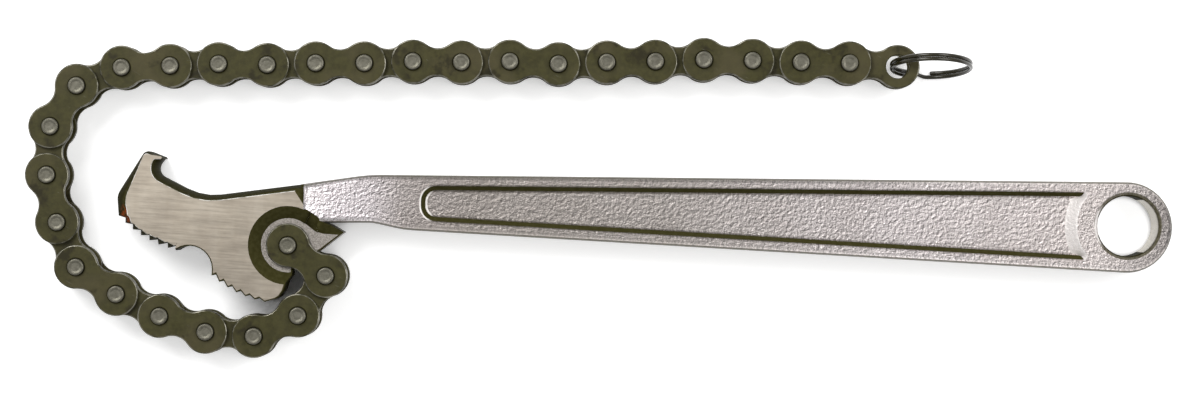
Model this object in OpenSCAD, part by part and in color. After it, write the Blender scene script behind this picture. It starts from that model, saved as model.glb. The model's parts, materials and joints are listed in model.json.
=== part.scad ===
// Chain pipe wrench: a forged jaw and handle with a half-inch pitch link chain and a split ring.
// The tool lies flat. The origin is the centre of the hanging hole, on the mid-plane of the handle.
// +X runs from the jaw to the hanging eye, and +Z is square to the flat of the handle. Millimetres.

/* [Handle] */
// Thickness of the handle over its rims
handle_t = 19; // [17:0.5:22]
// Distance along X from the chain pivot to the hanging hole
reach = 219.5; // [180:0.5:260]
// Drop of the chain pivot below the hanging hole
pivot_drop = 5; // [3:0.1:7]
// Outer radius of the hanging eye
eye_r = 11.9; // [10.5:0.1:14]
// Drop of the eye's outline below the hanging hole
eye_drop = 0.35; // [0:0.05:0.6]
// Diameter of the hanging hole
hang_hole_d = 15.8; // [12:0.1:17]
// Radius of the rounded rim of the hanging hole
hang_rim_r = 1.2; // [0.5:0.1:1.4]
// Distance along X from the chain pivot to the shoulder, where the jaw meets the neck
shoulder_l = 4.3; // [4:0.1:5]
// Height of the neck's top above the pivot, at the shoulder
neck_rise = 16; // [15.5:0.1:16.5]
// Width of the handle at its slim end, where the neck begins
root_w = 14.5; // [12:0.1:18]
// Width of the neck
neck_w = 11.8; // [10:0.1:13]
// Length of the neck from the shoulder to the handle
neck_l = 26; // [20:0.5:34]
// Step from the neck down to the ground jaw cheek
shoulder_step = 0.4; // [0.3:0.1:1]
// Width of the rim round the handle's recess
rim_w = 2.5; // [1.5:0.1:3.5]
// Distance from the handle's slim end to its recess
recess_start = 4.3; // [3:0.1:8]
// Depth of the recess in each flat of the handle
recess_depth = 3; // [1:0.1:4.5]
// Run of the recess's sloping wall
recess_wall = 1.4; // [0.8:0.1:2]

/* [Jaw] */
// Reach of the jaw in front of the pivot
jaw_l = 44.9; // [42:0.1:50]
// Height of the horn's top above the pivot
horn_h = 25.1; // [24:0.1:28]
// Radius of the hook throat that catches the chain
throat_r = 2.45; // [2.2:0.05:2.6]
// Thickness of the blade between the bevels
blade_t = 7.2; // [5:0.1:7.5]
// Width of the bevel along the back of the jaw
bevel_w = 1.5; // [0.5:0.1:1.8]
// Width of the bevel at the front of the jaw
front_bevel_w = 2.5; // [2:0.1:2.8]
// Radius of the ground cheek's edge above the front teeth
cheek_r = 9.3; // [9:0.1:10]
// Radius that the front tooth tips lie on
front_arc_r = 26.8; // [25:0.1:28]
// Number of front teeth
front_teeth = 7; // [5:1:9]
// Radius that the rear tooth tips lie on
rear_arc_r = 28.9; // [28:0.1:30]
// Number of rear teeth
rear_teeth = 6; // [4:1:8]
// Depth of the teeth
tooth_depth = 1.2; // [0.6:0.1:1.5]
// Width of the pocket's flat floor round the first link's plates
pocket_floor_w = 1.35; // [1.1:0.05:1.4]
// Run of the pocket's wall for each unit of its height
pocket_slope = 0.88; // [0.8:0.02:1]
// Radius of the half-round relief between the two rows of teeth
relief_r = 6; // [5:0.1:6.5]

/* [Chain] */
// Distance between neighbouring pins
pitch = 12.7; // [12.4:0.1:13.2]
// Thickness of a link plate
plate_t = 1.6; // [1.2:0.1:1.8]
// Radius of a link plate's round ends
plate_r = 5.75; // [5:0.05:5.9]
// Width of a link plate at its waist
waist_w = 7.2; // [6:0.1:8.5]
// Space between the two plates of an inner link
inner_w = 7.75; // [7.6:0.05:8.2]
// Diameter of the pins where the plates sit
pin_d = 4.4; // [3.8:0.1:4.5]
// Diameter of the pins' shoulder between the inner plates
shoulder_d = 4.7; // [4.6:0.1:4.8]
// Length of the pins
pin_l = 17; // [16:0.1:18.5]
// Chamfer on the pin ends
pin_chamfer = 0.3; // [0.1:0.1:0.5]

/* [Split ring] */
// Diameter of the ring at the middle of its wire
ring_d = 20.8; // [18:0.2:22]
// Diameter of the ring's wire
wire_d = 1.1; // [0.8:0.1:1.3]
// Lean of the ring from the upright
ring_lean = 12; // [0:1:12]

/* [Fits] */
// Radial clearance of a turning plate or hub on its pin
run_gap = 0.05; // [0.02:0.01:0.1]
// Radial clearance of a riveted plate on its pin
seat_gap = 0.01; // [0.01:0.005:0.02]
// Side clearance between neighbouring link plates
side_gap = 0.15; // [0.1:0.05:0.3]
// Clearance of the hub's edge from the links that swing past
swing_gap = 0.55; // [0.3:0.05:0.8]
// Clearance of the split ring in its holes
ring_gap = 0.1; // [0.05:0.05:0.3]

/* [Hidden] */
$fn = 64;
// Heading of each link from the pivot on, in degrees from +X, as the chain is laid out
link_headings = [
    -39, -125, -155, 175, 161, 153, 146, 113, 102, 86, 57, 22, 2, 2,
    -1, 2, 0, 2, -1, 1, -3, 2, 1, 2, -1, -2, -1, -4
];
link_count = len(link_headings);
pivot = [-reach, -pivot_drop];

// Half thicknesses
handle_h = handle_t / 2;
cheek_h = handle_h - shoulder_step;
blade_h = blade_t / 2;
hub_h = inner_w / 2 + plate_t;
outer_inside_h = hub_h + side_gap;

// Pivot hub and the sloping pocket round it. The pocket's straight walls are given as [heading, distance
// from the pivot to the foot of the wall]: one runs into the neck, and two run out along the pointed stop
hub_r = pitch - plate_r - swing_gap;
pocket_floor_r = plate_r + pocket_floor_w;
neck_wall = [-37, pocket_floor_r + 0.1];
stop_walls = [[-21, 6.05], [-4, 3.65]];

// Fillet that joins the two round ends of a link plate
waist_fillet_r = (pow(pitch / 2, 2) + pow(waist_w / 2, 2) - pow(plate_r, 2)) / (2 * plate_r - waist_w);
waist_x = pitch / 2 * waist_fillet_r / (plate_r + waist_fillet_r);
waist_y = (waist_w / 2 + waist_fillet_r) * plate_r / (plate_r + waist_fillet_r);

// Place of the split ring: it stands on the same surface as the handle and passes through the last two holes
ring_r = ring_d / 2;
wire_r = wire_d / 2;
turn_offset = wire_r + 0.02;
ring_rise = (ring_r + wire_r) * cos(ring_lean) + turn_offset * sin(ring_lean) - handle_h;
ring_low = (hub_h + ring_rise) / cos(ring_lean);
ring_upright = sqrt(ring_r * ring_r - ring_low * ring_low);
ring_run = ring_r - ring_upright;
ring_sway = hub_h * tan(ring_lean) + turn_offset / cos(ring_lean);
ring_slant_r = wire_r * ring_r / (ring_upright * cos(ring_lean));
ring_hole_r = norm([ring_run / 2, ring_sway]) + ring_slant_r + ring_gap;

function name(stem, i) = str(stem, "_", i < 10 ? "0" : "", i);
outer_count = ceil(link_count / 2);
inner_count = floor(link_count / 2);

steel = "#a9a59d";
bright_steel = "#77736a";
dark_steel = "#4d4a39";

// Unit vector along v
function unit(v) = v / norm(v);

// Vector at an angle
function along(a) = [cos(a), sin(a)];

// Points of an arc, each with the bevel width b
function arc(c, r, a0, a1, n, b) = [
    for (i = [0:n]) let (p = c + r * along(a0 + (a1 - a0) * i / n)) [p.x, p.y, b]
];

// Points of the corner c = [x, y, radius, bevel] between the neighbours p and q, rounded by an arc
corner_step = 12;
function corner(p, c, q) =
    let (
        u = unit([p.x - c.x, p.y - c.y]),
        v = unit([q.x - c.x, q.y - c.y]),
        half = acos(u * v) / 2,
        middle = [c.x, c.y] + unit(u + v) * c[2] / sin(half),
        from = [c.x, c.y] + u * c[2] / tan(half) - middle,
        turn = (180 - 2 * half) * sign(v.x * u.y - v.y * u.x),
        start = atan2(from.y, from.x),
        steps = max(2, ceil(abs(turn) / corner_step))
    )
    c[2] == 0 ? [[c.x, c.y, c[3]]] : arc(middle, c[2], start, start + turn, steps, c[3]);

// Outline through corners [x, y, radius, bevel], each rounded
function rounded(corners) = let (m = len(corners)) [
    for (i = [0:m - 1]) each corner(corners[(i + m - 1) % m], corners[i], corners[(i + 1) % m])
];

// Outline moved inwards by k times each point's own bevel width
function inset(points, k) = let (m = len(points)) [
    for (i = [0:m - 1])
        let (
            a = points[(i + m - 1) % m],
            p = points[i],
            b = points[(i + 1) % m],
            d = unit([p.x - a.x, p.y - a.y]),
            e = unit([b.x - p.x, b.y - p.y]),
            normal = unit([-d.y - e.y, d.x + e.x]),
            stretch = max(0.5, normal * [-d.y, d.x])
        )
        [p.x, p.y] + normal * k * p[2] / stretch
];

// Solid through a stack of levels [z, outline], all with as many points
module loft(levels) {
    n = len(levels[0][1]);
    m = len(levels);
    rings = [for (l = levels) for (p = l[1]) [p.x, p.y, l[0]]];
    sides = [
        for (k = [0:m - 2]) for (i = [0:n - 1])
            let (a = k * n + i, b = k * n + (i + 1) % n) each [[a, a + n, b + n], [a, b + n, b]]
    ];
    floor_face = [for (i = [0:n - 1]) i];
    top_face = [for (i = [n - 1:-1:0]) (m - 1) * n + i];
    polyhedron(rings, concat([floor_face], sides, [top_face]));
}

// Levels [z, k] of one outline, moved inwards by k bevel widths at each height
function inset_levels(points, levels) = [for (l = levels) [l[0], inset(points, l[1])]];

// Same levels above and below the mid-plane
function mirrored(levels) = concat(
    [for (i = [len(levels) - 1:-1:0]) [-levels[i][0], levels[i][1]]],
    levels
);

// What lies within half a thickness h of the mid-plane, with flat faces there
module trimmed(h) {
    intersection() {
        children();
        translate([-2 * reach, -reach, -h]) cube([3 * reach, 2 * reach, 2 * h]);
    }
}

// Angle of the point where the tangent from p meets the eye, on the side s
eye_centre = [0, -eye_drop];
function eye_tangent(p, s) =
    let (q = p - eye_centre, a = atan2(q.y, q.x) + s * acos(eye_r / norm(q)))
    a > 180 ? a - 360 : a;

// Corners of the handle's straight part, where the neck begins
shoulder_x = pivot.x + shoulder_l;
root_x = shoulder_x + neck_l;
neck_top = pivot.y + neck_rise;
neck_low = neck_top + 1.65 - neck_w;
root_top = [root_x - 9, neck_top + 2.5];
root_low = [root_x, root_top.y - root_w];
top_angle = eye_tangent(root_top, -1);
low_angle = eye_tangent(root_low, 1);
eye_top = eye_centre + eye_r * along(top_angle);
eye_low = eye_centre + eye_r * along(low_angle);

// Outline of the handle, neck and eye. The rounded end of the neck starts inside the jaw
neck_x = shoulder_x - 0.9;
function handle_outline() =
    let (
        bends = rounded([
            [eye_top.x, eye_top.y, 0, 1],
            [root_top.x, root_top.y, 40, 1],
            [neck_x, neck_top, 0, 1],
            [neck_x, neck_low, 0, 1],
            [root_x - 8, neck_low, 12, 1],
            [root_low.x, root_low.y, 25, 1],
            [eye_low.x, eye_low.y, 0, 1]
        ])
    )
    concat(arc(eye_centre, eye_r, low_angle, top_angle, 28, 1), [for (i = [1:len(bends) - 2]) bends[i]]);

module handle_bar() {
    trimmed(handle_h) loft(mirrored(inset_levels(
        handle_outline(),
        [[handle_h - 4, 0], [handle_h - 1.3, 0.3], [handle_h - 0.4, 0.8], [handle_h + 0.4, 2]]
    )));
}

// Height of the straight top or low edge of the handle at x
function edge_y(from, to, x) = from.y + (to.y - from.y) * (x - from.x) / (to.x - from.x);

// Outline of the recess in the flat of the handle
function recess_outline() =
    let (
        left = root_x + recess_start,
        end_r = eye_r + 1.5,
        right = -end_r * cos(45),
        top = edge_y(root_top, eye_top, right) - rim_w,
        low = edge_y(root_low, eye_low, right) + rim_w,
        left_top = edge_y(root_top, eye_top, left) - rim_w,
        left_low = edge_y(root_low, eye_low, left) + rim_w,
        end_round = (left_top - left_low) * 0.45,
        end_run = 1.5,
        end_half = 25
    )
    rounded([
        [right, top, 1.2, 1],
        [left, left_top, end_round, 1],
        [left, left_low, end_round, 1],
        [right, low, 1.2, 1],
        for (p = arc([0, 0], end_r, 180 + end_half, 180 - end_half, 6, end_run)) [p.x, p.y, 0, p[2]]
    ]);

module recess() {
    floor_z = handle_h - recess_depth;
    loft(inset_levels(recess_outline(), [
        [floor_z, recess_wall + 0.5],
        [floor_z + 0.3, recess_wall],
        [handle_h - 0.3, 0.3],
        [handle_h + 0.1, -0.2]
    ]));
}

// Points with more of them between neighbours that both lie in front of x, no further apart than step
function filled(points, x, step) = [
    for (i = [0:len(points) - 1])
        let (
            p = points[i],
            q = points[min(i + 1, len(points) - 1)],
            n = max(p.x, q.x) < x ? max(1, ceil(norm([q.x - p.x, q.y - p.y]) / step)) : 1
        )
        for (k = [0:n - 1]) p + (q - p) * k / n
];

// Tip of tooth i out of n, on an arc about c from angle a0 to a1
function tip(c, r, a0, a1, i, n) = c + r * along(a0 + (a1 - a0) * i / n);

// Row of saw teeth: flank runs from a tip to its root, and the root lies before or after the tip
function tooth_row(c, r, a0, a1, n, flank, root_first) = [
    for (i = [0:n])
        let (t = tip(c, r, a0, a1, i, n), root = t + flank)
            each concat(
                root_first && i > 0 ? [[root.x, root.y, 0]] : [],
                [[t.x, t.y, 0]],
                !root_first && i < n ? [[root.x, root.y, 0]] : []
            )
];

// Outline of the jaw about the pivot, running round from the shoulder over the horn and along the teeth
front_centre = [20.9 - jaw_l, 25];
rear_centre = [-0.45, 13.6];
relief_centre = [-25.7, -6.1];
relief_start = 124;
horn_top_x = 7.5 - jaw_l;
function jaw_outline() = concat(
    filled(rounded([
        [8, 2, 0, 0],
        [8, 16.5, 0, bevel_w],
        [-22.6, 12.7, 16, bevel_w],
        [-35.4, 19.3, throat_r, bevel_w],
        [-32.4, 23.1, 0.45, 0.1],
        [horn_top_x, horn_h, 1.8, 0.7],
        [-jaw_l, 13.2, 4, front_bevel_w],
        [-jaw_l + 0.2, 10.3, 0, front_bevel_w]
    ]), horn_top_x, 1.6),
    tooth_row(front_centre, front_arc_r, 220, 259, front_teeth, [0, tooth_depth + 0.15], true),
    arc(relief_centre, relief_r, relief_start, 0, 10, 0),
    tooth_row(rear_centre, rear_arc_r, 228, 259, rear_teeth, [tooth_depth * 0.9, tooth_depth * 0.4], false),
    [[-3.2, -14, 0], [-2.2, -13.4, 0], [-1.2, -12, 0], [-0.4, -9.6, 0], [1, -7.8, 0], [1.2, -hub_r + 1, 0]]
);

// Outline of the ground cheek: bevelled along the back and the front, and ended by a round edge above the
// front teeth, whose flanks slope up to it
cheek_centre = [12 - jaw_l, 11.3];
cheek_arc_top = cheek_centre.y + 4.5;
front_root_r = front_arc_r - tooth_depth - 0.35;
teeth_end_x = relief_centre.x + relief_r * cos(relief_start) - 0.1;
function within(p, c, r, x) = p.x < x && norm(p - c) > r ? c + r * unit(p - c) : p;
function cheek_front(p) = p.y > cheek_arc_top
    ? p
    : within(within(p, cheek_centre, cheek_r, cheek_centre.x), front_centre, front_root_r, teeth_end_x);
function cheek_outline() = [for (p = inset(jaw_outline(), 1)) cheek_front(p)];

// Jaw with a thin blade between its two cheeks. The bevels run on past the cheeks, which cut them off flat
module jaw() {
    edge = jaw_outline();
    cheek = cheek_outline();
    past = 1;
    reach_past = 1 + past / (cheek_h - blade_h);
    above = [for (i = [0:len(edge) - 1]) let (p = [edge[i].x, edge[i].y]) p + (cheek[i] - p) * reach_past];
    trimmed(cheek_h)
        translate([pivot.x, pivot.y, 0])
            loft(mirrored([[blade_h, edge], [cheek_h + past, above]]));
}

// Children on both sides of the mid-plane
module both_sides() {
    children();
    mirror([0, 0, 1]) children();
}

// Space above the hub's face in front of a straight pocket wall [heading, distance]
module wall_cut(wall) {
    rise = handle_h - hub_h + 1;
    under = -3;
    translate([pivot.x, pivot.y, hub_h])
        rotate([90, 0, 90 + wall[0]])
            linear_extrude(height = 2 * pitch)
                polygon([[under, 0], [wall[1], 0], [wall[1] + pocket_slope * rise, rise], [under, rise]]);
}

// Sloping pocket that the first link swings in, cut down to the hub
module pivot_pocket() {
    rise = handle_h - hub_h + 1;
    translate([pivot.x, pivot.y, hub_h])
        cylinder(h = rise, r1 = pocket_floor_r, r2 = pocket_floor_r + pocket_slope * rise);
    wall_cut(neck_wall);
}

// Pointed stop under the neck, with a wall along its upper edge that falls away to the tip
module stop() {
    difference() {
        translate([pivot.x, pivot.y, -cheek_h])
            linear_extrude(height = 2 * cheek_h)
                polygon([[2, 8], [4, 9], [8.8, 6.3], [11.4, 5.3], [14.7, 3.4], [8.6, -1.2], [4, -4]]);
        both_sides() for (wall = stop_walls) wall_cut(wall);
    }
}

// Relief beside the shoulder, where the ground cheek runs out at the back of the jaw
module shoulder_relief() {
    from = [1.8, 14.4];
    to = [4.24, 10.6];
    fall = 40;
    heading = atan2(to.y - from.y, to.x - from.x);
    size = 2 * pitch;
    intersection() {
        translate([pivot.x + from.x, pivot.y + from.y, cheek_h])
            rotate([0, 0, heading])
                rotate([-fall, 0, 0])
                    translate([-size / 2, 0, 0]) cube(size);
        translate([shoulder_x - size, pivot.y, 0]) cube(size);
    }
}

module handle() {
    color(steel)
        difference() {
            union() {
                difference() {
                    union() {
                        handle_bar();
                        jaw();
                        stop();
                    }
                    both_sides() {
                        recess();
                        pivot_pocket();
                        shoulder_relief();
                    }
                }
                translate([pivot.x, pivot.y, -hub_h]) cylinder(h = 2 * hub_h, r = hub_r);
            }
            translate([pivot.x, pivot.y, -handle_t]) cylinder(h = 2 * handle_t, d = pin_d + 2 * run_gap);
            translate([0, 0, -handle_t]) cylinder(h = 2 * handle_t, d = hang_hole_d);
            both_sides()
                translate([0, 0, handle_h - hang_rim_r])
                    rotate_extrude()
                        difference() {
                            translate([hang_hole_d / 2 - 1, 0]) square([hang_rim_r + 1, hang_rim_r + 1]);
                            translate([hang_hole_d / 2 + hang_rim_r, 0]) circle(hang_rim_r);
                        }
        }
}

// Place of pin i, counted from 1 at the pivot
function pin_at(i) = i == 1 ? pivot : pin_at(i - 1) + pitch * along(link_headings[i - 2]);

// Moves a link's parts from its own frame, first pin at the origin and second along +X, to link i
module at_link(i) {
    p = pin_at(i);
    translate([p.x, p.y, 0]) rotate(link_headings[i - 1]) children();
}

// Flat outline of a link plate with its two holes
module plate_outline(hole_r, far_hole_r) {
    difference() {
        union() {
            for (x = [0, pitch]) translate([x, 0]) circle(plate_r);
            translate([pitch / 2 - waist_x, -waist_y]) square([2 * waist_x, 2 * waist_y]);
        }
        for (s = [-1, 1])
            translate([pitch / 2, s * (waist_w / 2 + waist_fillet_r)]) circle(waist_fillet_r);
        circle(hole_r);
        translate([pitch, 0]) circle(far_hole_r);
    }
}

// Pair of plates, one each side of the mid-plane, with their inner faces at z
module plate_pair(z, hole_r, far_hole_r) {
    both_sides()
        translate([0, 0, z]) linear_extrude(height = plate_t) plate_outline(hole_r, far_hole_r);
}

// The two plates of outer link i
module outer_plates(i) {
    hole_r = pin_d / 2 + seat_gap;
    color(dark_steel) at_link(2 * i - 1) plate_pair(outer_inside_h, hole_r, hole_r);
}

// The two plates of inner link i. The last one ends in the split ring's holes
module inner_plates(i) {
    hole_r = pin_d / 2 + run_gap;
    far_hole_r = 2 * i == link_count ? ring_hole_r : hole_r;
    color(dark_steel) at_link(2 * i) plate_pair(inner_w / 2, hole_r, far_hole_r);
}

// One riveted pin. A shoulder in the middle keeps the inner plates apart, and the hub's pin is plain
module pin(shouldered) {
    body_h = pin_l / 2 - pin_chamfer;
    translate([0, 0, -body_h]) cylinder(h = 2 * body_h, d = pin_d);
    both_sides()
        translate([0, 0, body_h]) cylinder(h = pin_chamfer, d1 = pin_d, d2 = pin_d - 2 * pin_chamfer);
    if (shouldered) {
        shoulder_h = inner_w / 2 - side_gap;
        translate([0, 0, -shoulder_h]) cylinder(h = 2 * shoulder_h, d = shoulder_d);
    }
}

// The two pins of outer link i
module pins(i) {
    color(bright_steel) at_link(2 * i - 1) {
        pin(i > 1);
        translate([pitch, 0, 0]) pin(true);
    }
}

// Middle of the ring's wire after t turns, about the ring's centre. The ring stands in its own XZ plane
ring_jog = 0.03;
ring_cut_angle = -105;
function jog(t) = let (s = min(1, max(0, (t - 1 + ring_jog) / (2 * ring_jog)))) s * s * (3 - 2 * s);
function ring_point(t) = let (a = ring_cut_angle + 360 * t)
    [ring_r * cos(a), turn_offset * (1 - 2 * jog(t)), ring_r * sin(a)];

// Split ring: two turns of wire side by side, stepping across where the ends are cut
module split_ring() {
    hole = pin_at(link_count + 1);
    sides = 8;
    steps = 76;
    first = 1.5 * ring_jog;
    last = 2 - first;
    rings = [
        for (k = [0:steps])
            let (
                t = first + (last - first) * k / steps,
                p = ring_point(t),
                out = unit([p.x, 0, p.z])
            )
            for (j = [0:sides - 1])
                let (a = 360 * j / sides) p + wire_r * (cos(a) * out + sin(a) * [0, 1, 0])
    ];
    skin = [
        for (k = [0:steps - 1]) for (j = [0:sides - 1])
            let (a = k * sides + j, b = k * sides + (j + 1) % sides)
                each [[a, a + sides, b + sides], [a, b + sides, b]]
    ];
    start_face = [for (j = [0:sides - 1]) j];
    end_face = [for (j = [sides - 1:-1:0]) steps * sides + j];
    color(dark_steel)
        translate([hole.x + ring_r - ring_run / 2, hole.y + ring_rise * tan(ring_lean), ring_rise])
            rotate([-ring_lean, 0, 0])
                polyhedron(rings, concat([start_face], skin, [end_face]));
}

handle();
split_ring();
for (i = [1:outer_count]) {
    outer_plates(i);
    pins(i);
}
for (i = [1:inner_count])
    inner_plates(i);
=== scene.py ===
"""Chain pipe wrench: the looks of the forging, the link chain and the split ring, seen flat from above."""

import json
import math

import bmesh
import bpy
from mathutils import Matrix, Vector


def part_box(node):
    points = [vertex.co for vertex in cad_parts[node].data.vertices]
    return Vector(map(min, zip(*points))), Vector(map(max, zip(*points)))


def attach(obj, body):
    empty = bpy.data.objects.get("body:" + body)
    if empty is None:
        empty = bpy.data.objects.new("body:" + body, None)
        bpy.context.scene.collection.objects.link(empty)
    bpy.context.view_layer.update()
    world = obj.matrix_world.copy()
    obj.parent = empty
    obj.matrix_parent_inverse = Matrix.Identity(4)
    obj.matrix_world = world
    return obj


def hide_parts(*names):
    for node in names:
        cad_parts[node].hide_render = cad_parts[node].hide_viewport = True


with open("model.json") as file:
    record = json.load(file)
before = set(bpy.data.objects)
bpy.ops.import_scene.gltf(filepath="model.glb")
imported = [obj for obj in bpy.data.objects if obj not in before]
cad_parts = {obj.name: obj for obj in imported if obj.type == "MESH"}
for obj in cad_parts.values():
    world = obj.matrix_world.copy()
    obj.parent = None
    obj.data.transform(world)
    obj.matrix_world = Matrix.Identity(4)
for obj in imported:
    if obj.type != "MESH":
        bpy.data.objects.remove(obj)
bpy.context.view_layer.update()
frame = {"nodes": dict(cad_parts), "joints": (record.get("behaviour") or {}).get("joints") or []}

MM = 0.001
JOINTS = {joint["name"]: joint for joint in frame["joints"]}
PIVOT = Vector(JOINTS["pin_01"]["pos_m"]) / MM
FLOOR_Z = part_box("handle")[0].z

# Chain sizes in millimetres and radians
PITCH = (Vector(JOINTS["pin_02"]["pos_m"]) - Vector(JOINTS["pin_01"]["pos_m"])).length / MM
PLATE_R = 5.75
WAIST_W = 7.2
PLATE_T = 1.6
INNER_W = 7.75
SIDE_GAP = 0.15
INNER_H = INNER_W / 2
OUTER_H = INNER_H + PLATE_T + SIDE_GAP
PLATE_ROLL = 0.32
UNDER_ROLL_SHARE = 0.4
PIN_R = 2.2
PIN_H = 8.5
PIN_EDGE = 0.34
PIN_EDGE_ANGLES = (0.0, 0.52, 1.05, math.pi / 2)
PIN_DISH = 0.1
PIN_DISH_R = 0.5 * PIN_R
PIN_RIM_R = 0.74 * PIN_R
SHOULDER_R = 2.35
SHOULDER_H = INNER_H - SIDE_GAP
HOLE_GAP = 0.09
PIN_HOLE_R = PIN_R + HOLE_GAP
HOLE_CHAMFER = 0.2
LINK_COUNT = 28
ROUND_STEPS = 40

# Split ring sizes in millimetres and degrees, with its jog and its open ends as shares of a turn
RING_R = 10.4
WIRE_R = 0.53
RING_LEAN = 12
RING_CUT = -105
RING_JOG = 0.03
RING_END = 1.5 * RING_JOG
TURN_GAP = 0.02
RING_STEPS = 190
WIRE_SIDES = 14
WIRE_CHAMFER = 0.14

# Forging sizes in millimetres, and the angle in degrees up to which faces are joined
HANDLE_H = 9.5
CHEEK_H = 9.1
HUB_H = INNER_H + PLATE_T
SHOULDER_X = PIVOT.x + 4.3
FORGED_EDGE_X = SHOULDER_X + 8
RECESS_H = HANDLE_H - 3
RECESS_X = PIVOT.x + 33
RECESS_MIDDLE_X = -100
RELIEF_W = 3.2
FRONT_TEETH_X = PIVOT.x - 29.2
POCKET_R = 11
POCKET_REACH = 16
CHEEK_EDGE_W = 0.28
WALL_EDGE_W = 0.32
STOP_EDGE_W = 0.4
FORGED_EDGE_W = 0.3
WELD = 0.002
PLACE_SLACK = 0.1
JOIN_ANGLE = 0.4

# Slopes on the forging: of the handle's middle line along X, and the run of the pocket's wall for each unit
# of its height. The others are upright shares of a face's normal, and SHADED_FLAT counts for every piece
MIDDLE_LINE_SLOPE = -0.035
POCKET_WALL_RUN = 0.88
POCKET_WALL_Z = math.sin(math.atan(POCKET_WALL_RUN))
SLOPE_SLACK = 0.06
LEVEL = 0.99
SHADED_FLAT = 0.999
WALL_TILT = 0.1

# Where the forging's colours and its painted light and shade change, in millimetres
ALONG_LIGHT_SPAN = (-215.5, 11.5)
LIP_STARTS = (-190, -185)
LIP_ENDS = (-6, -8)
BORE_WALL = (7.92, 8.1)
BORE_RIM = (9.0, 9.5)
CHEEK_LIGHT_SPAN = (-16, 18)
RUST_AT = (-261.6, 3.0, 7.0)
RUST_REACH = (1.2, 3.4)

# Orange peel of the forging: its noise scale, and the shift in millimetres that the painted light and shade
# of its relief is taken from
PEEL_SCALE = 1050
PEEL_LIGHT_SHIFT = (0.12, -0.05, 0)

# Order of the materials of the forging and of a link plate
FORGED, GROUND, DARK, WEAR_AND_HIGHLIGHT_EDGE, POCKET = range(5)
SAME = -1
PLATE_FLAT, PLATE_RIM = range(2)

# The floor's half width in metres, and its own glow in the open and in the hanging hole.
# In the hole the glow fades between two radii in millimetres.
# In the open it fades between two shares of open sky, counted within so many millimetres
FLOOR_SIZE = 4.0
FLOOR_LIFT = 0.4
HOLE_LIFT = 0.85
HOLE_GLOW_R = (6.5, 9)
SHADE_REACH = 20
SHADE_SPAN = (0.12, 0.32)

# The photograph's frame in pixels, its scale on the tool's upper face and the hanging hole's place in it,
# and the camera's height above that face in metres
PHOTO_W = 1200
PHOTO_H = 415
MM_PER_PIXEL = 0.261
HOLE_U = 1128.1
HOLE_V = 226.2
CAMERA_HEIGHT = 1.3


def material(name, roughness=0.4, metallic=1.0):
    """New material with its Principled shader, and the node tree's own tools."""
    made = bpy.data.materials.new(name)
    made.use_nodes = True
    shader = made.node_tree.nodes["Principled BSDF"]
    shader.inputs["Roughness"].default_value = roughness
    shader.inputs["Metallic"].default_value = metallic
    return made, shader, Tree(made.node_tree)


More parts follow.
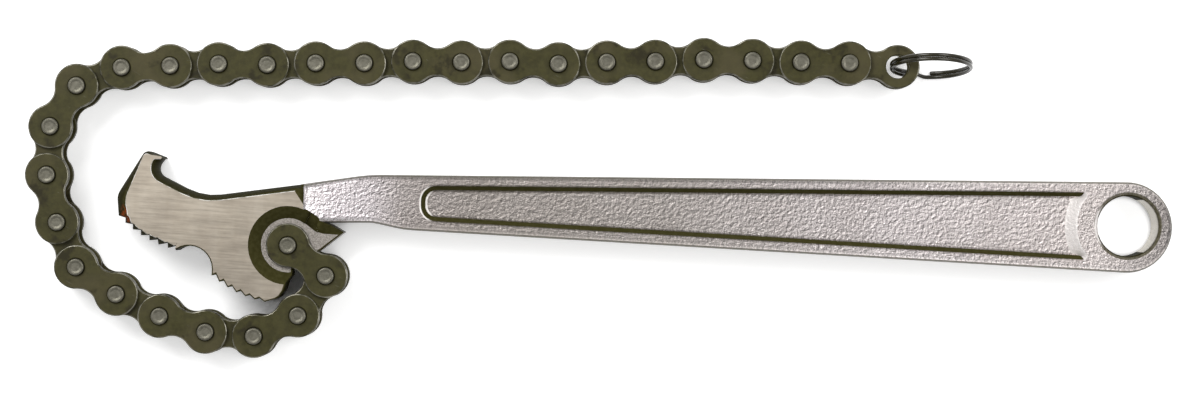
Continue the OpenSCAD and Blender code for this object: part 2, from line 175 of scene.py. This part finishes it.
class Tree:
    """Short calls for the nodes that the materials share."""

    def __init__(self, tree):
        self.tree = tree
        self.place = self.add("ShaderNodeTexCoord").outputs["Object"]

    def add(self, kind, **settings):
        node = self.tree.nodes.new(kind)
        for key, value in settings.items():
            setattr(node, key, value)
        return node

    def link(self, source, target):
        self.tree.links.new(source, target)

    def put(self, socket, value):
        """A socket takes another socket's value or a constant."""
        if isinstance(value, bpy.types.NodeSocket):
            self.link(value, socket)
        else:
            socket.default_value = value

    def stretched(self, scale, turn=0.0):
        """Object coordinates turned about Z and then scaled along each axis."""
        turned = self.add("ShaderNodeMapping")
        turned.inputs["Rotation"].default_value = (0, 0, math.radians(turn))
        self.link(self.place, turned.inputs["Vector"])
        scaled = self.add("ShaderNodeMapping")
        scaled.inputs["Scale"].default_value = scale
        self.link(turned.outputs[0], scaled.inputs["Vector"])
        return scaled.outputs[0]

    def moved(self, offset):
        """Object coordinates moved by millimetres."""
        node = self.add("ShaderNodeVectorMath", operation="ADD")
        self.link(self.place, node.inputs[0])
        node.inputs[1].default_value = Vector(offset) * MM
        return node.outputs[0]

    def noise(self, scale, detail=3.0, rough=0.55, where=None):
        node = self.add("ShaderNodeTexNoise")
        node.inputs["Scale"].default_value = scale
        node.inputs["Detail"].default_value = detail
        node.inputs["Roughness"].default_value = rough
        self.link(where or self.place, node.inputs["Vector"])
        return node.outputs["Fac"]

    def math(self, operation, a, b=0.0):
        node = self.add("ShaderNodeMath", operation=operation)
        self.put(node.inputs[0], a)
        self.put(node.inputs[1], b)
        return node.outputs[0]

    def span(self, value, low, high, to_low=0.0, to_high=1.0, smooth=True):
        """Value from low to high, mapped to the new range."""
        node = self.add("ShaderNodeMapRange", interpolation_type="SMOOTHSTEP" if smooth else "LINEAR")
        self.put(node.inputs["Value"], value)
        for key, number in (("From Min", low), ("From Max", high), ("To Min", to_low), ("To Max", to_high)):
            node.inputs[key].default_value = number
        return node.outputs[0]

    def across(self, value, ends, to_low=0.0, to_high=1.0, smooth=True):
        """Coordinate between two places in millimetres, mapped to the new range."""
        return self.span(value, ends[0] * MM, ends[1] * MM, to_low, to_high, smooth)

    def mix(self, factor, a, b, blend="MIX"):
        node = self.add("ShaderNodeMix", data_type="RGBA", blend_type=blend)
        self.put(node.inputs[0], factor)
        self.put(node.inputs[6], colour(a))
        self.put(node.inputs[7], colour(b))
        return node.outputs[2]

    def ramp(self, value, stops):
        """Colours at places from 0 to 1."""
        node = self.add("ShaderNodeValToRGB")
        self.put(node.inputs[0], value)
        points = node.color_ramp.elements
        while len(points) < len(stops):
            points.new(0.5)
        for point, (at, shade) in zip(points, stops):
            point.position = at
            point.color = colour(shade)
        return node.outputs[0]

    def axes(self, vector):
        node = self.add("ShaderNodeSeparateXYZ")
        self.link(vector, node.inputs[0])
        return node.outputs

    def normal(self):
        return self.axes(self.add("ShaderNodeNewGeometry").outputs["Normal"])

    def bump(self, height, strength, depth, shader):
        node = self.add("ShaderNodeBump")
        node.inputs["Strength"].default_value = strength
        node.inputs["Distance"].default_value = depth
        self.link(height, node.inputs["Height"])
        self.link(node.outputs[0], shader.inputs["Normal"])

    def near(self, point, inner, outer):
        """1 within inner millimetres of a point, falling to 0 at outer."""
        node = self.add("ShaderNodeVectorMath", operation="DISTANCE")
        self.link(self.place, node.inputs[0])
        node.inputs[1].default_value = Vector(point) * MM
        return self.across(node.outputs["Value"], (inner, outer), 1.0, 0.0)

    def near_axis(self, point, inner, outer):
        """1 within inner millimetres of an upright axis, falling to 0 at outer."""
        node = self.add("ShaderNodeVectorMath", operation="MULTIPLY")
        self.link(self.place, node.inputs[0])
        node.inputs[1].default_value = (1, 1, 0)
        away = self.add("ShaderNodeVectorMath", operation="DISTANCE")
        self.link(node.outputs[0], away.inputs[0])
        away.inputs[1].default_value = Vector((*point, 0)) * MM
        return self.across(away.outputs["Value"], (inner, outer), 1.0, 0.0)


def colour(value):
    """A colour of three or one numbers gets its alpha; a socket stays as it is."""
    if isinstance(value, bpy.types.NodeSocket):
        return value
    if isinstance(value, (int, float)):
        value = (value, value, value)
    return (*value, 1.0)


def forged_flats(tree, along, peel):
    """Colour of the plated flats: painted light that changes along the handle, painted light and shade on
    the dimples as if lit from one side, and clouds.
    """
    beside = tree.noise(PEEL_SCALE, 3, 0.6, tree.moved(PEEL_LIGHT_SHIFT))
    cloud = tree.noise(45, 3, 0.5)
    # Painted light along the handle: brighter at the neck and towards the eye, darker in between and at the
    # eye's far end
    painted_light_along = tree.ramp(along, [
        (0.0, (0.68, 0.64, 0.65)), (0.03, (0.46, 0.425, 0.435)), (0.075, (0.37, 0.342, 0.347)),
        (0.115, (0.255, 0.232, 0.222)), (0.2, (0.22, 0.2, 0.185)), (0.42, (0.255, 0.235, 0.222)),
        (0.66, (0.36, 0.332, 0.328)), (0.82, (0.405, 0.372, 0.365)), (0.92, (0.42, 0.385, 0.375)),
        (1.0, (0.2, 0.185, 0.178)),
    ])
    # Painted light and shade on the dimples: the peel less the same peel shifted, strongest at the neck and
    # near the eye
    depth = tree.ramp(along, [(0.0, 1.0), (0.08, 0.9), (0.14, 0.5), (0.3, 0.55), (0.5, 0.85), (0.8, 1.0)])
    painted_dimple_light = tree.span(tree.math("SUBTRACT", beside, peel), -0.1, 0.1, 0.25, 1.75, smooth=False)
    painted_dimple_light = tree.mix(depth, (1.0, 1.0, 1.0), painted_dimple_light)
    cloudy = tree.mix(tree.span(cloud, 0.3, 0.7), (0.88, 0.87, 0.86), (1.0, 1.0, 1.0))
    return tree.mix(1.0, tree.mix(1.0, painted_light_along, painted_dimple_light, "MULTIPLY"), cloudy, "MULTIPLY")


def forged_areas(tree, along_x, facing):
    """Masks from 0 to 1 of the painted highlight on the recess's end slopes, of the painted shade on the
    steep sides and round the hanging hole's rim, and of the hanging hole's wall.
    """
    upward = tree.math("ABSOLUTE", facing[2])
    in_bore = tree.near_axis((0, 0), *BORE_RIM)
    # Painted shade on the steep side faces, outside the hanging hole's rim
    side = tree.math("MULTIPLY", tree.span(upward, 0.62, 0.42), tree.math("SUBTRACT", 1.0, in_bore))
    steep = tree.span(upward, 0.999, 0.95)
    bore_wall = tree.near_axis((0, 0), *BORE_WALL)
    # Painted shade on the sloped rim round the hanging hole
    bore_rim = tree.math("MULTIPLY", tree.math("SUBTRACT", in_bore, bore_wall), steep)
    # Painted highlight on faces that tilt along X at the recess's two ends
    on_recess = tree.math("MULTIPLY", tree.across(along_x, LIP_STARTS), tree.across(along_x, LIP_ENDS))
    painted_lip_highlight = tree.math("MULTIPLY", tree.span(tree.math("ABSOLUTE", facing[0]), 0.15, 0.4), on_recess)
    unlit = tree.math("SUBTRACT", 1.0, painted_lip_highlight)
    # Painted shade of the sides and of the hole's rim, held back under the painted highlight
    dark = tree.math("MAXIMUM", tree.math("MULTIPLY", side, 0.86), tree.math("MULTIPLY", bore_rim, 0.9))
    return painted_lip_highlight, tree.math("MULTIPLY", unlit, dark), bore_wall


def forged_steel():
    """Plated forging: orange peel on the flats, painted light and shade along the handle and on the dimples,
    painted highlights on the rounded edges and the recess's end slopes, and painted shade on the sides and
    round the hanging hole's rim.
    """
    made, shader, tree = material("forged_steel")
    peel = tree.noise(PEEL_SCALE, 3, 0.6)
    grain = tree.noise(4500, 2, 0.5)
    height = tree.math("ADD", tree.math("MULTIPLY", peel, 0.8), tree.math("MULTIPLY", grain, 0.3))
    tree.bump(height, 1.0, 0.0003, shader)
    along_x = tree.axes(tree.place)[0]
    along = tree.across(along_x, ALONG_LIGHT_SPAN, smooth=False)
    flats = forged_flats(tree, along, peel)
    facing = tree.normal()
    painted_lip_highlight, walls, bore_wall = forged_areas(tree, along_x, facing)
    # Painted highlight on the rounded edges that face along Y, stronger on the lower side
    painted_edge_highlight = tree.math("ADD", tree.span(facing[1], 0.2, 0.5, 0.0, 0.6),
                         tree.span(facing[1], -0.2, -0.5, 0.0, 0.9))
    lit = tree.mix(1.0, flats, tree.math("ADD", painted_edge_highlight, 1.0), "MULTIPLY")
    # Painted highlight colour on the recess's end slopes
    lit = tree.mix(painted_lip_highlight, lit, tree.ramp(along, [(0.15, (0.9, 0.86, 0.83)), (0.8, (0.74, 0.7, 0.68))]))
    lit = tree.mix(bore_wall, lit, (0.46, 0.43, 0.37))
    # Painted shade colour on the steep sides and round the hole's rim
    dark = tree.mix(tree.span(peel, 0.3, 0.7), (0.035, 0.031, 0.013), (0.085, 0.077, 0.042))
    tree.link(tree.mix(walls, lit, dark), shader.inputs["Base Color"])
    tree.link(tree.span(grain, 0.3, 0.7, 0.28, 0.42), shader.inputs["Roughness"])
    # The painted shade and the painted highlight are less metallic
    painted_mark_share = tree.math("MAXIMUM", walls, tree.math("MULTIPLY", painted_lip_highlight, 0.8))
    tree.link(tree.math("SUBTRACT", 1.0, painted_mark_share), shader.inputs["Metallic"])
    tree.link(tree.span(walls, 0.0, 0.8, 0.5, 0.05), shader.inputs["Specular IOR Level"])
    return made


def ground_steel():
    """Jaw cheeks: ground flat, with faint grinding lines along the jaw, cross bands and smudges, and painted
    light that brightens them towards the horn.
    """
    made, shader, tree = material("ground_steel")
    line = tree.noise(1, 4, 0.65, tree.stretched((110, 2300, 300), 4))
    cross = tree.noise(1, 2, 0.5, tree.stretched((420, 35, 300), 4))
    smudge = tree.noise(110, 4, 0.6, tree.stretched((1, 1.8, 1), 8))
    fine = tree.noise(4200, 2, 0.5)
    base = tree.mix(tree.span(smudge, 0.3, 0.7), (0.345, 0.302, 0.247), (0.43, 0.382, 0.316))
    lined = tree.mix(tree.span(line, 0.25, 0.75), (0.86, 0.86, 0.86), (1.0, 1.0, 1.0))
    banded = tree.mix(tree.span(cross, 0.3, 0.7), (0.965, 0.96, 0.95), (1.0, 1.0, 1.0))
    stain = tree.mix(tree.span(smudge, 0.62, 0.75, 0.0, 0.5), (1.0, 1.0, 1.0), (0.72, 0.74, 0.8))
    worn = tree.mix(1.0, tree.mix(1.0, base, lined, "MULTIPLY"), banded, "MULTIPLY")
    # Painted light: the cheeks brighten along Y towards the horn and darken lower down
    painted_light_rising = tree.across(tree.axes(tree.place)[1], CHEEK_LIGHT_SPAN, 0.88, 1.12)
    worn = tree.mix(1.0, worn, painted_light_rising, "MULTIPLY")
    tree.link(tree.mix(1.0, worn, stain, "MULTIPLY"), shader.inputs["Base Color"])
    tree.link(tree.span(line, 0.2, 0.8, 0.33, 0.45), shader.inputs["Roughness"])
    tree.bump(tree.math("ADD", line, tree.math("MULTIPLY", fine, 0.4)), 0.12, 0.00005, shader)
    return made


def pocket_steel():
    """Floor of the pivot pocket: duller forged grey."""
    made, shader, tree = material("pocket_steel", 0.42)
    grain = tree.noise(2600, 3, 0.6)
    base = tree.mix(tree.span(grain, 0.3, 0.7), (0.17, 0.155, 0.135), (0.33, 0.305, 0.28))
    tree.link(base, shader.inputs["Base Color"])
    tree.bump(grain, 0.5, 0.00012, shader)
    return made


def oxide_and_painted_shade():
    """Bevels, teeth and pocket walls, and the handle's recess walls: dark olive scale and painted shade,
    darker on the steeper faces, rusty at the first teeth.
    """
    made, shader, tree = material("oxide_and_painted_shade", 0.55, 0.0)
    shader.inputs["Specular IOR Level"].default_value = 0.01
    scale = tree.noise(900, 4, 0.6)
    base = tree.mix(tree.span(scale, 0.3, 0.7), (0.033, 0.03, 0.009), (0.048, 0.044, 0.016))
    rust = tree.math("MULTIPLY", tree.near(RUST_AT, *RUST_REACH), tree.span(scale, 0.36, 0.56))
    # Painted shade: the steeper faces darken
    bevel = tree.span(tree.math("ABSOLUTE", tree.normal()[2]), 0.45, 0.6, 0.6, 1.0)
    shaded = tree.mix(1.0, base, bevel, "MULTIPLY")
    tree.link(tree.mix(rust, shaded, (0.2, 0.045, 0.012)), shader.inputs["Base Color"])
    tree.bump(scale, 0.3, 0.0001, shader)
    return made


def wear_and_highlight_edge():
    """Thin pale line where a ground face meets a bevel: wear, with a painted highlight."""
    made, shader, tree = material("wear_and_highlight_edge", 0.3, 0.25)
    worn = tree.noise(500, 3, 0.6)
    base = tree.mix(tree.span(worn, 0.35, 0.6), (0.3, 0.28, 0.22), (0.92, 0.9, 0.86))
    tree.link(base, shader.inputs["Base Color"])
    return made


def plate_oxide():
    """Link plates: dark olive, oily, with stains, scuffs and patina; the paler rims, worn and with a painted
    highlight, are a material of their own.
    """
    made, shader, tree = material("plate_oxide", 0.45, 0.2)
    shader.inputs["Specular IOR Level"].default_value = 0.22
    stain = tree.noise(160, 4, 0.6)
    mottle = tree.noise(620, 4, 0.65)
    scuff = tree.noise(1, 3, 0.6, tree.stretched((240, 1700, 400), 25))
    base = tree.mix(tree.span(mottle, 0.3, 0.7), (0.03, 0.027, 0.007), (0.044, 0.04, 0.011))
    patina = tree.noise(75, 2, 0.5)
    aged = tree.mix(tree.span(patina, 0.45, 0.65, 0.0, 0.45), base, (0.066, 0.055, 0.026))
    oily = tree.mix(tree.span(stain, 0.55, 0.68), aged, (0.022, 0.019, 0.007))
    scuffed = tree.mix(tree.span(scuff, 0.66, 0.78, 0.0, 0.5), oily, (0.12, 0.115, 0.085))
    tree.link(scuffed, shader.inputs["Base Color"])
    tree.link(tree.span(stain, 0.4, 0.7, 0.5, 0.32), shader.inputs["Roughness"])
    tree.bump(tree.math("ADD", mottle, tree.math("MULTIPLY", scuff, 0.5)), 0.2, 0.00006, shader)
    return made


def plate_rim():
    """Rolled edge of a link plate, worn paler than its flat and with a painted highlight."""
    made, shader, tree = material("plate_rim", 0.36, 0.7)
    worn = tree.noise(330, 4, 0.6)
    base = tree.mix(tree.span(worn, 0.36, 0.62), (0.045, 0.042, 0.022), (0.22, 0.21, 0.17))
    tree.link(base, shader.inputs["Base Color"])
    return made


def pin_steel():
    """Riveted pin ends: grey, hammered, brighter at the rim."""
    made, shader, tree = material("pin_steel", 0.42, 0.75)
    dint = tree.noise(900, 4, 0.65)
    base = tree.mix(tree.span(dint, 0.3, 0.7), (0.095, 0.09, 0.068), (0.14, 0.133, 0.105))
    tree.link(base, shader.inputs["Base Color"])
    tree.bump(dint, 0.35, 0.00012, shader)
    return made


def ring_steel():
    """Glossy dark spring wire."""
    made, shader, tree = material("ring_steel", 0.2, 0.0)
    spot = tree.noise(300, 3, 0.6)
    base = tree.mix(tree.span(spot, 0.35, 0.7), (0.012, 0.0105, 0.0035), (0.022, 0.019, 0.008))
    tree.link(base, shader.inputs["Base Color"])
    tree.link(tree.span(spot, 0.3, 0.7, 0.16, 0.26), shader.inputs["Roughness"])
    return made


def finished(bm, name, materials, body, nodes, smooth_angle=38):
    """Piece made from bm, shaded smooth up to an angle, riding on a body in place of CAD nodes."""
    mesh = bpy.data.meshes.new(name)
    bmesh.ops.recalc_face_normals(bm, faces=bm.faces)
    bm.to_mesh(mesh)
    bm.free()
    for made in materials:
        mesh.materials.append(made)
    mesh.shade_smooth()
    mesh.set_sharp_from_angle(angle=math.radians(smooth_angle))
    for face in mesh.polygons:
        face.use_smooth = abs(face.normal.z) < SHADED_FLAT
    piece = bpy.data.objects.new(name, mesh)
    bpy.context.scene.collection.objects.link(piece)
    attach(piece, body)
    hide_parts(*nodes)
    return piece


def in_place(bm, link):
    """Moves what was drawn in millimetres in a link's own frame to link number link."""
    here = Vector(JOINTS[f"pin_{link:02d}"]["pos_m"])
    following = f"pin_{link + 1:02d}" if link < LINK_COUNT else "ring_swing"
    there = Vector(JOINTS[following]["pos_m"])
    heading = math.atan2(there.y - here.y, there.x - here.x)
    bm.transform(Matrix.Translation(here) @ Matrix.Rotation(heading, 4, "Z") @ Matrix.Scale(MM, 4))


def plate_edge(steps=30):
    """Points of a link plate's outline with their outward normals, anticlockwise."""
    half = PITCH / 2
    fillet_r = (half ** 2 + (WAIST_W / 2) ** 2 - PLATE_R ** 2) / (2 * PLATE_R - WAIST_W)
    rise = WAIST_W / 2 + fillet_r
    lean = math.atan2(rise, half)
    waist_steps = steps // 3

    def sweep(centre, radius, start, end, count, out):
        for i in range(count):
            angle = start + (end - start) * i / count
            normal = Vector((math.cos(angle), math.sin(angle)))
            yield Vector(centre) + radius * normal, out * normal

    return [
        *sweep((PITCH, 0), PLATE_R, lean - math.pi, math.pi - lean, steps, 1),
        *sweep((half, rise), fillet_r, -lean, lean - math.pi, waist_steps, -1),
        *sweep((0, 0), PLATE_R, lean, 2 * math.pi - lean, steps, 1),
        *sweep((half, -rise), fillet_r, math.pi - lean, lean, waist_steps, -1),
    ]


def ring_of(bm, points):
    """New vertices at the points."""
    return [bm.verts.new(point) for point in points]


def band(bm, lower, upper, index=0):
    """Faces between two closed rings of as many vertices."""
    count = len(lower)
    for i in range(count):
        j = (i + 1) % count
        bm.faces.new((lower[i], lower[j], upper[j], upper[i])).material_index = index


def closed_edges(bm, ring):
    """Edges round a closed ring of vertices."""
    return [bm.edges.get((ring[i], ring[(i + 1) % len(ring)])) for i in range(len(ring))]


def roll(radius, steps=3):
    """Quarter-round steps as (inset, drop from the face)."""
    angles = [math.pi / 2 * i / steps for i in range(steps + 1)]
    return [(radius * (1 - math.sin(angle)), radius * (1 - math.cos(angle))) for angle in angles]


def turns(count):
    """Angles of a whole turn in equal steps."""
    return [2 * math.pi * i / count for i in range(count)]


def circle(x, radius, height):
    """Points of a circle about a pin's axis at x."""
    return [(x + radius * math.cos(t), radius * math.sin(t), height) for t in turns(ROUND_STEPS)]


def plate(bm, low, side, holes):
    """Stamped plate with rolled edges and chamfered holes, outwards from the height low on side +1 or -1."""
    outline = plate_edge()
    levels = [(inset, PLATE_T - drop) for inset, drop in roll(PLATE_ROLL)]
    levels += reversed(roll(PLATE_ROLL * UNDER_ROLL_SHARE))
    rings = []
    for inset, height in levels:
        rings.append(ring_of(bm, [(*(p - n * inset), side * (low + height)) for p, n in outline]))
    rolled = len(levels) // 2
    for i in range(len(rings) - 1):
        band(bm, rings[i], rings[i + 1], PLATE_RIM if i < rolled - 1 else PLATE_FLAT)
    caps = [closed_edges(bm, rings[0]), closed_edges(bm, rings[-1])]
    for x, radius in holes:
        wall = []
        for extra, height in ((HOLE_CHAMFER, PLATE_T), (0, PLATE_T - HOLE_CHAMFER), (0, 0)):
            wall.append(ring_of(bm, circle(x, radius + extra, side * (low + height))))
        band(bm, wall[0], wall[1], PLATE_FLAT)
        band(bm, wall[1], wall[2], PLATE_FLAT)
        caps[0] += closed_edges(bm, wall[0])
        caps[1] += closed_edges(bm, wall[-1])
    for edges in caps:
        bmesh.ops.triangle_fill(bm, use_beauty=True, use_dissolve=False, edges=edges)


def pair_of_plates(low, far_hole):
    """The two plates of a link, with their inner faces at the height low on each side."""
    bm = bmesh.new()
    for side in (1, -1):
        plate(bm, low, side, [(0, PIN_HOLE_R), (PITCH, far_hole)])
    return bm


def lathe(bm, x, profile):
    """Turned solid about a pin's axis at x, from (radius, height) points that start and end on the axis."""
    tip, *middle, foot = profile
    rings = [ring_of(bm, circle(x, radius, height)) for radius, height in middle]
    for lower, upper in zip(rings, rings[1:]):
        band(bm, lower, upper)
    for ring, (_, height) in ((rings[0], tip), (rings[-1], foot)):
        centre = bm.verts.new((x, 0, height))
        for i in range(ROUND_STEPS):
            bm.faces.new((ring[i], ring[(i + 1) % ROUND_STEPS], centre))


def pin(bm, x, shouldered):
    """Riveted pin: dished ends with a rounded rim, and a shoulder between the inner plates."""
    end = [(0, PIN_H - PIN_DISH), (PIN_DISH_R, PIN_H - PIN_DISH), (PIN_RIM_R, PIN_H)]
    for angle in PIN_EDGE_ANGLES:
        end.append((PIN_R - PIN_EDGE * (1 - math.sin(angle)), PIN_H - PIN_EDGE * (1 - math.cos(angle))))
    if shouldered:
        end += [(PIN_R, SHOULDER_H), (SHOULDER_R, SHOULDER_H)]
    lathe(bm, x, end + [(radius, -height) for radius, height in reversed(end)])


def ring_path(turn):
    """Middle of the ring's wire after so many turns, in millimetres about the ring's centre."""
    step = min(1.0, max(0.0, (turn - 1 + RING_JOG) / (2 * RING_JOG)))
    side = (WIRE_R + TURN_GAP) * (1 - 2 * step * step * (3 - 2 * step))
    angle = math.radians(RING_CUT + 360 * turn)
    return Vector((RING_R * math.cos(angle), side, RING_R * math.sin(angle)))


def split_ring():
    """Two turns of round wire side by side, with chamfered cut ends."""
    bm = bmesh.new()
    across = Vector((0, 1, 0))
    rings = []
    for i in range(RING_STEPS + 1):
        middle = ring_path(RING_END + (2 - 2 * RING_END) * i / RING_STEPS)
        out = Vector((middle.x, 0, middle.z)).normalized()
        radius = WIRE_R - (WIRE_CHAMFER if i in (0, RING_STEPS) else 0)
        rings.append(ring_of(bm, [
            middle + radius * (math.cos(t) * out + math.sin(t) * across) for t in turns(WIRE_SIDES)
        ]))
    for lower, upper in zip(rings, rings[1:]):
        band(bm, lower, upper)
    bm.faces.new(rings[0])
    bm.faces.new(rings[-1])
    low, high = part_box("split_ring")
    lean = Matrix.Rotation(math.radians(-RING_LEAN), 4, "X")
    bm.transform(Matrix.Translation((low + high) / 2) @ lean @ Matrix.Scale(MM, 4))
    return bm


def forging():
    """The forging's own solid, with pale edges on the ground jaw, worn and with a painted highlight, and its
    faces sorted by material.
    """
    bm = bmesh.new()
    bm.from_mesh(frame["nodes"]["handle"].data)
    bmesh.ops.remove_doubles(bm, verts=bm.verts, dist=WELD * MM)
    bmesh.ops.dissolve_limit(bm, angle_limit=math.radians(JOIN_ANGLE), verts=bm.verts, edges=bm.edges)
    # The cheek edges take the pale edge material, worn and with a painted highlight
    for chosen, width, segments, index in (
        (is_cheek_edge, CHEEK_EDGE_W, 1, WEAR_AND_HIGHLIGHT_EDGE), (is_wall_edge, WALL_EDGE_W, 1, DARK),
        (is_stop_edge, STOP_EDGE_W, 2, DARK), (is_forged_edge, FORGED_EDGE_W, 2, SAME),
    ):
        edges = [e for e in bm.edges if len(e.link_faces) == 2 and chosen(e)]
        bmesh.ops.bevel(bm, geom=edges, offset=width * MM, segments=segments, profile=0.5, affect="EDGES",
                        clamp_overlap=chosen is not is_wall_edge, material=index)
    for face in bm.faces:
        if face.material_index == FORGED:
            face.material_index = material_index_of(face)
    return bm


def is_flat(face, height):
    """Face square to Z at a height above or below the mid-plane."""
    return abs(face.normal.z) > LEVEL and abs(abs(face.calc_center_median().z) / MM - height) < PLACE_SLACK


def is_cheek(face):
    """Flat ground face of the jaw."""
    return is_flat(face, CHEEK_H)


def beside_cheek(edge):
    """Face that meets a cheek at a convex edge, away from the pocket and the relief beside the shoulder."""
    faces = [face for face in edge.link_faces if not is_cheek(face)]
    middle = (edge.verts[0].co + edge.verts[1].co) / 2 / MM
    left_sharp = middle.x > SHOULDER_X - RELIEF_W or (middle.xy - PIVOT.xy).length < POCKET_R
    return faces[0] if len(faces) == 1 and edge.is_convex and not left_sharp else None


def is_cheek_edge(edge):
    """Edge where a cheek meets a bevel."""
    face = beside_cheek(edge)
    return face is not None and abs(face.normal.z) > WALL_TILT


def is_wall_edge(edge):
    """Edge where a cheek meets an upright wall, behind the front teeth."""
    face = beside_cheek(edge)
    upright = face is not None and abs(face.normal.z) <= WALL_TILT
    return upright and edge.verts[0].co.x / MM > FRONT_TEETH_X


def is_stop_edge(edge):
    """Convex edge of the pocket's floor along the pointed stop."""
    floors = [is_flat(face, HUB_H) for face in edge.link_faces]
    return edge.is_convex and any(floors) and not all(floors) and edge.calc_face_angle() > 1


def is_forged_edge(edge):
    """Edge of the handle's flats and of its recess."""
    flats = [is_flat(face, HANDLE_H) or is_flat(face, RECESS_H) for face in edge.link_faces]
    middle_x = (edge.verts[0].co.x + edge.verts[1].co.x) / 2 / MM
    return any(flats) and not all(flats) and middle_x > FORGED_EDGE_X


def material_index_of(face):
    """Number of the material for a face of the forging."""
    middle = face.calc_center_median() / MM
    if is_cheek(face):
        return GROUND
    if is_flat(face, HUB_H):
        return POCKET
    on_slope = abs(abs(face.normal.z) - POCKET_WALL_Z) < SLOPE_SLACK
    in_pocket = on_slope and (middle.xy - PIVOT.xy).length < POCKET_REACH
    on_jaw = middle.x < SHOULDER_X - PLACE_SLACK
    # The dark material: oxide scale on the jaw's bevels and teeth, and painted shade on the pocket's sloped
    # walls and the handle's recess walls
    return DARK if on_jaw or in_pocket or is_recess_wall(face, middle) else FORGED


def is_recess_wall(face, middle):
    """Steep wall of the handle's recess along its sides and at its slim end."""
    sideways = face.normal.y * (middle.y - MIDDLE_LINE_SLOPE * middle.x)
    slim_end = face.normal.x > 0.3 and middle.x < RECESS_MIDDLE_X
    steep = abs(face.normal.z) < 0.6 and face.normal.x > -0.5
    return steep and middle.x > RECESS_X and (sideways < -0.5 or slim_end)


def floor():
    """Pale floor that keeps the object's shadow, with a painted glow seen by the camera and in reflections:
    it whitens the floor and lifts its shadow in the open, fades where the floor is hemmed in, and fills the
    shadow in the hanging hole.
    """
    mesh = bpy.data.meshes.new("floor")
    corners = [(x * FLOOR_SIZE, y * FLOOR_SIZE, 0) for x, y in ((-1, -1), (1, -1), (1, 1), (-1, 1))]
    mesh.from_pydata(corners, [], [(0, 1, 2, 3)])
    piece = bpy.data.objects.new("floor", mesh)
    piece.location.z = FLOOR_Z
    bpy.context.scene.collection.objects.link(piece)
    made, shader, tree = material("floor_white", 0.9, 0.0)
    shader.inputs["Base Color"].default_value = (0.95, 0.95, 0.95, 1)
    shader.inputs["Specular IOR Level"].default_value = 0.0
    path = tree.add("ShaderNodeLightPath").outputs
    seen = tree.math("MAXIMUM", path["Is Camera Ray"], tree.math("MAXIMUM", path["Is Glossy Ray"],
                                                                 path["Is Transmission Ray"]))
    shader.inputs["Emission Color"].default_value = (1, 1, 1, 1)
    # Painted light: a glow that fills the floor's shadow inside the hanging hole
    hole = tree.math("MULTIPLY", tree.near_axis((0, 0), *HOLE_GLOW_R), HOLE_LIFT)
    open_sky = tree.add("ShaderNodeAmbientOcclusion", samples=16)
    open_sky.inputs["Distance"].default_value = SHADE_REACH * MM
    lift = tree.math("MAXIMUM", hole, tree.span(open_sky.outputs["AO"], *SHADE_SPAN, 0.0, FLOOR_LIFT))
    tree.link(tree.math("MULTIPLY", seen, lift), shader.inputs["Emission Strength"])
    mesh.materials.append(made)


def lamp(name, place, target, size, watts, tint=(1, 1, 1)):
    """Soft rectangular lamp that faces a point."""
    light = bpy.data.lights.new(name, "AREA")
    light.shape = "RECTANGLE"
    light.size, light.size_y = size
    light.energy = watts
    light.color = tint
    piece = bpy.data.objects.new(name, light)
    piece.location = place
    piece.rotation_euler = (Vector(target) - Vector(place)).to_track_quat("-Z", "Y").to_euler()
    bpy.context.scene.collection.objects.link(piece)


def studio():
    """Even dim surroundings, and soft lamps from the upper left and from the hanging eye's end."""
    world = bpy.data.worlds.new("studio")
    world.use_nodes = True
    world.node_tree.nodes["Background"].inputs["Color"].default_value = (1, 1, 1, 1)
    world.node_tree.nodes["Background"].inputs["Strength"].default_value = 0.55
    bpy.context.scene.world = world
    middle = (-0.14, 0.005, 0)
    lamp("key", (-0.55, 0.5, 0.95), middle, (0.5, 0.5), 9)
    lamp("end_light", (0.45, 0.1, 0.8), middle, (0.5, 0.4), 4)


def camera():
    """Camera straight above the photograph's middle, at the photograph's scale on the tool's upper face."""
    data = bpy.data.cameras.new("camera")
    width = PHOTO_W * MM_PER_PIXEL * MM
    data.lens = data.sensor_width * CAMERA_HEIGHT / width
    piece = bpy.data.objects.new("camera", data)
    centre_x = (PHOTO_W / 2 - HOLE_U) * MM_PER_PIXEL * MM
    centre_y = (HOLE_V - PHOTO_H / 2) * MM_PER_PIXEL * MM
    piece.location = (centre_x, centre_y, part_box("handle")[1].z + CAMERA_HEIGHT)
    bpy.context.scene.collection.objects.link(piece)
    bpy.context.scene.camera = piece


def ring_hole_r():
    """Radius in millimetres of the ring's holes, from the CAD's last inner plates."""
    plates = frame["nodes"][f"inner_plates_{LINK_COUNT // 2:02d}"]
    eye = Vector(JOINTS["ring_swing"]["pos_m"]).xy
    return min(((plates.matrix_world @ v.co).xy - eye).length for v in plates.data.vertices) / MM


def chain():
    """Every link's plates, and the pins of the outer links."""
    flat, rim, steel = plate_oxide(), plate_rim(), pin_steel()
    last_hole_r = ring_hole_r()
    for link in range(1, LINK_COUNT + 1):
        outer = link % 2 == 1
        number = f"{(link + 1) // 2:02d}"
        kind = "outer" if outer else "inner"
        body = f"{kind}_link_{number}"
        far_hole = last_hole_r if link == LINK_COUNT else PIN_HOLE_R
        bm = pair_of_plates(OUTER_H if outer else INNER_H, far_hole)
        in_place(bm, link)
        finished(bm, f"{kind}_link_plates_{number}", [flat, rim], body, [f"{kind}_plates_{number}"])
        if outer:
            bm = bmesh.new()
            pin(bm, 0, link > 1)
            pin(bm, PITCH, True)
            in_place(bm, link)
            finished(bm, f"link_pins_{number}", [steel], body, [f"pins_{number}"])


bpy.context.scene.view_settings.view_transform = "Standard"
floor()
studio()
camera()
forging_materials = [forged_steel(), ground_steel(), oxide_and_painted_shade(), wear_and_highlight_edge(), pocket_steel()]
finished(forging(), "wrench_forging", forging_materials, "handle", ["handle"], smooth_angle=40)
chain()
finished(split_ring(), "split_ring_wire", [ring_steel()], "ring", ["split_ring"], smooth_angle=50)
